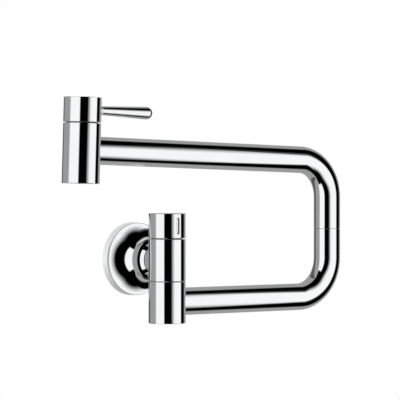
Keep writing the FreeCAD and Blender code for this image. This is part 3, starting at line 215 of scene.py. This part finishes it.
def make_studio():
    """The sphere whose banded light is mirrored in the chrome."""
    bpy.ops.mesh.primitive_uv_sphere_add(
        segments=STUDIO_SEGMENTS,
        ring_count=STUDIO_RINGS,
        radius=STUDIO_RADIUS,
        location=STUDIO_MIDDLE,
    )
    studio = bpy.context.object
    studio.name = "studio"
    material, tree = new_material("studio")

    # the way around from 0 to 1, and the climb above the middle
    direction = tree.add(
        "ShaderNodeVectorMath", {0: tree.place()}, operation="NORMALIZE"
    ).outputs[0]
    aside = (math.cos(CAMERA_AZIMUTH), -math.sin(CAMERA_AZIMUTH), 0.0)
    ahead = (-math.sin(CAMERA_AZIMUTH), -math.cos(CAMERA_AZIMUTH), 0.0)
    turn = tree.math("ARCTAN2", tree.dot(direction, aside), tree.dot(direction, ahead))
    around = tree.math("ADD", tree.math("DIVIDE", turn, 2 * math.pi), 0.5)
    climb = tree.math("ARCSINE", tree.dot(direction, UPWARDS))
    degrees = tree.math("MULTIPLY", tree.math("ABSOLUTE", climb), 180 / math.pi)

    # the black card on the right leans outwards above the middle
    upper = tree.math("DIVIDE", tree.math("MAXIMUM", climb, 0.0), 2 * math.pi)
    beside = tree.math("GREATER_THAN", around, on_circle(LEANING_CARD_START))
    lean = tree.math("MULTIPLY", tree.math("MULTIPLY", upper, CARD_LEAN), beside)
    stops = [(on_circle(angle), level) for angle, level in AROUND]
    banded = tree.ramp(tree.math("SUBTRACT", around, lean), stops)

    # each white card covers its part of the circle, and goes dark above and below its ends
    light = 1.0
    for (low, high), end in ((LEFT_CARD, LEFT_CARD_END), (RIGHT_CARD, RIGHT_CARD_END)):
        above = tree.math("GREATER_THAN", around, on_circle(low))
        below = tree.math("LESS_THAN", around, on_circle(high))
        ended = tree.ranged(degrees, end, (1.0, BLACK), interpolation_type="SMOOTHSTEP")
        light = tree.chosen(tree.math("MULTIPLY", above, below), light, ended)

    tree.show(tree.glow(tree.dimmed(banded, light)))
    studio.data.materials.append(material)
    only_mirrored(studio)


def make_wall_patch():
    """The lit wall just around the cover plate, as the plate's rim mirrors it."""
    corners = []
    faces = []
    for step in range(PATCH_STEPS):
        angle = step * 2 * math.pi / PATCH_STEPS
        for radius in PATCH_RADII:
            corners.append((radius * math.cos(angle), PATCH_PLACE, radius * math.sin(angle)))
        here = 2 * step
        there = 2 * ((step + 1) % PATCH_STEPS)
        faces.append((here, here + 1, there + 1, there))
    mesh = bpy.data.meshes.new("wall_patch")
    mesh.from_pydata(corners, [], faces)
    patch = bpy.data.objects.new("wall_patch", mesh)
    bpy.context.scene.collection.objects.link(patch)
    material, tree = new_material("wall_patch")
    height = tree.dot(tree.place(), UPWARDS)
    along = tree.ranged(height, PATCH_HEIGHTS, (0.0, 1.0))
    tree.show(tree.glow(tree.ramp(along, PATCH_LEVELS)))
    patch.data.materials.append(material)
    only_mirrored(patch)


def make_world():
    """Plain white surroundings, a little dimmer as a light than as a background."""
    world = bpy.data.worlds.new("surroundings")
    bpy.context.scene.world = world
    world.use_nodes = True
    tree = Tree(world.node_tree)
    path = tree.add("ShaderNodeLightPath")
    light = tree.add("ShaderNodeBackground", {"Color": WHITE, "Strength": LIGHT_STRENGTH})
    white = tree.add("ShaderNodeBackground", {"Color": WHITE, "Strength": SEEN_STRENGTH})
    seen = tree.math(
        "MAXIMUM", path.outputs["Is Camera Ray"], path.outputs["Is Transmission Ray"]
    )
    seen = tree.math("MAXIMUM", seen, path.outputs["Is Glossy Ray"])
    tree.show(tree.blend(seen, light, white), "ShaderNodeOutputWorld")


def make_floor():
    """A pale floor below the object that fades into the white surroundings."""
    bpy.ops.mesh.primitive_circle_add(
        vertices=FLOOR_CORNERS, radius=FLOOR_RADIUS, fill_type="NGON", location=FLOOR_MIDDLE
    )
    floor = bpy.context.object
    floor.name = "floor"
    material, tree = new_material("floor")
    distance = tree.add(
        "ShaderNodeVectorMath", {0: tree.place()}, operation="LENGTH"
    ).outputs["Value"]
    fade = tree.ranged(distance, FLOOR_FADE, (0.0, 1.0), interpolation_type="SMOOTHSTEP")
    pale = tree.add("ShaderNodeBsdfDiffuse", {"Color": FLOOR_COLOUR})
    clear = tree.add("ShaderNodeBsdfTransparent")
    tree.show(tree.blend(fade, pale, clear))
    floor.data.materials.append(material)
    floor.visible_glossy = False


def make_lamp():
    """A soft box that lights the object and stays out of its reflections."""
    data = bpy.data.lights.new("soft_box", "AREA")
    data.shape = "DISK"
    data.size = LAMP_SIZE
    data.energy = LAMP_POWER
    lamp = bpy.data.objects.new("soft_box", data)
    lamp.location = LAMP_PLACE
    aim = -lamp.location.normalized()
    lamp.rotation_euler = aim.to_track_quat("-Z", "Y").to_euler()
    lamp.visible_glossy = False
    bpy.context.scene.collection.objects.link(lamp)


make_world()
make_studio()
make_wall_patch()
make_floor()
make_lamp()


# ---------------------------------------------------------------- materials

# the part of the noise's range over which tints and roughness vary
NOISE_REACH = (0.3, 0.7)

# chrome: scale and detail of the polishing haze and of the faint tint, and their ends
HAZE_NOISE = (90.0, 5.0)
HAZE_ROUGHNESS = (0.015, 0.04)
CHROME_NOISE = (25.0, 2.0)
CHROME_TINTS = ((0.80, 0.81, 0.82), (0.83, 0.835, 0.84))
# painted shade in seams: how far away a facing wall darkens the chrome's colour, the share of the
# colour left deep inside a seam, and
#  the openness over which the painted shade sets in
SEAM_REACH = 0.003
PAINTED_SEAM_SHADE_LEVEL = 0.08
PAINTED_SEAM_SHADE_OPENNESS = (0.35, 0.8)
SEAM_SAMPLES = 12

# machined metal: the tool marks run around the upright axis
MARK_NOISE = (900.0, 3.0)
MARK_STRETCH = (1, 1, 8)
MARK_DEPTH = 2e-5
METAL_NOISE = (40.0, 4.0)

# moulded pieces: detail of the grain, and scale and detail of the tint
GRAIN_DETAIL = 6.0
MOULDED_NOISE = (60.0, 4.0)


def fine_noise(tree, scale, detail, stretch=(1, 1, 1)):
    spread = tree.add("ShaderNodeMapping", {"Vector": tree.place(), "Scale": stretch})
    noise = tree.add(
        "ShaderNodeTexNoise",
        {"Vector": spread.outputs[0], "Scale": scale, "Detail": detail},
    )
    return noise.outputs["Fac"]


def tinted(tree, noise, tints):
    """A colour that wanders between two close tints."""
    return tree.ramp(fine_noise(tree, *noise), list(zip(NOISE_REACH, tints)))


def bumped(tree, factor, depth):
    node = tree.add("ShaderNodeBump", {"Height": factor, "Distance": depth, "Strength": 1.0})
    return node.outputs["Normal"]


def make_chrome(name):
    """Polished chrome plate: a mirror with a faint haze left by the polishing wheel, and painted
    seam shade.
    """
    material, tree = new_material(name)
    # painted shade: seams and other narrow places mirror each other and little light, so ambient
    # occlusion darkens their colour
    openness = tree.add(
        "ShaderNodeAmbientOcclusion", {"Distance": SEAM_REACH}, samples=SEAM_SAMPLES
    ).outputs["AO"]
    light = tree.ranged(openness, PAINTED_SEAM_SHADE_OPENNESS, (PAINTED_SEAM_SHADE_LEVEL, 1.0))
    wipe = fine_noise(tree, *HAZE_NOISE)
    shader = tree.add(
        "ShaderNodeBsdfPrincipled",
        {
            # the tint is darkened by the painted seam shade
            "Base Color": tree.dimmed(tinted(tree, CHROME_NOISE, CHROME_TINTS), light),
            "Metallic": 1.0,
            "Roughness": tree.ranged(wipe, NOISE_REACH, HAZE_ROUGHNESS),
        },
    )
    tree.show(shader)
    return material


def make_metal(name, tints, roughness):
    """Machined metal with fine tool marks."""
    material, tree = new_material(name)
    marks = fine_noise(tree, *MARK_NOISE, MARK_STRETCH)
    shader = tree.add(
        "ShaderNodeBsdfPrincipled",
        {
            "Base Color": tinted(tree, METAL_NOISE, tints),
            "Metallic": 1.0,
            "Roughness": tree.ranged(marks, NOISE_REACH, roughness),
            "Normal": bumped(tree, marks, MARK_DEPTH),
        },
    )
    tree.show(shader)
    return material


def make_moulded(name, tints, roughness, grain, depth):
    """Plastic, rubber or ceramic with a fine grain of the given scale and depth."""
    material, tree = new_material(name)
    spots = fine_noise(tree, grain, GRAIN_DETAIL)
    shader = tree.add(
        "ShaderNodeBsdfPrincipled",
        {
            "Base Color": tinted(tree, MOULDED_NOISE, tints),
            "Roughness": tree.ranged(spots, NOISE_REACH, roughness),
            "Normal": bumped(tree, spots, depth),
        },
    )
    tree.show(shader)
    return material


# two tints and two ends of roughness for each
METALS = {
    "brass": (((0.55, 0.40, 0.17), (0.66, 0.50, 0.24)), (0.22, 0.36)),
    "steel": (((0.50, 0.50, 0.51), (0.60, 0.60, 0.61)), (0.25, 0.40)),
}
# the same, and the scale and depth of the grain
MOULDED = {
    "rubber": (((0.012, 0.012, 0.012), (0.03, 0.03, 0.03)), (0.5, 0.7), 1500.0, 2e-5),
    "ceramic": (((0.80, 0.78, 0.73), (0.86, 0.85, 0.81)), (0.12, 0.2), 2500.0, 2e-6),
    "white_plastic": (((0.74, 0.74, 0.72), (0.80, 0.80, 0.78)), (0.35, 0.5), 1800.0, 8e-6),
    "grey_plastic": (((0.10, 0.105, 0.11), (0.15, 0.155, 0.16)), (0.35, 0.5), 1800.0, 8e-6),
}

finishes = {"chrome": make_chrome("chrome")}
for name, values in METALS.items():
    finishes[name] = make_metal(name, *values)
for name, values in MOULDED.items():
    finishes[name] = make_moulded(name, *values)

# painted shade: the thin rings in the seams take the black rubber finish in place of their own, so
# that each seam reads as a fine dark line
PAINTED_SHADE_SEAM_RINGS = ("swivel_glide_washer", "elbow_glide_washer")

for row in frame["record"]["subparts"]:
    thing = frame["nodes"][row["node"]]
    # the seam washers are drawn in black rubber as painted shade for the gap
    slot = "rubber" if row["node"] in PAINTED_SHADE_SEAM_RINGS else row["material_slot"]
    thing.data.materials.clear()
    thing.data.materials.append(finishes[slot])
    # the mirror finish shows the studio's cards and not its neighbours
    thing.visible_glossy = False
